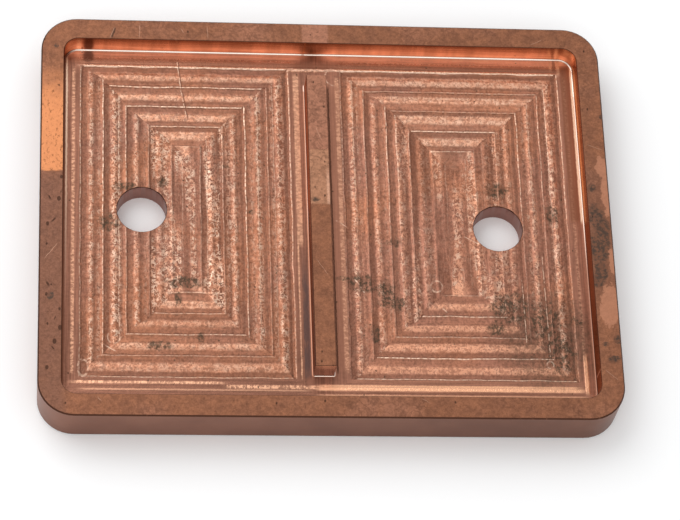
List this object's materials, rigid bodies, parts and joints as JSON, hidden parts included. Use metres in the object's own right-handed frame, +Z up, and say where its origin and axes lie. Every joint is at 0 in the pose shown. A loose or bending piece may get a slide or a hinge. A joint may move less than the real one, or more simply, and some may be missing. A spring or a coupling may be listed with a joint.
{
  "type": "liquid cooling cold plate",
  "caption": "Open copper cold plate base: rounded slab with a shallow milled pocket, a central rib between its chambers and plain ports through the floor.",
  "frame": {"origin": "on the base face, under the centre of the slab's outline", "axes": "+X along the longer side, +Y towards the far end wall, +Z up out of the pocket"},
  "size_m": [0.15, 0.115, 0.0125],
  "materials": {
    "copper": "machined copper, oxidised on the rim"
  },
  "bodies": {
    "root": {"cold_plate": "copper"}
  },
  "joints": []
}
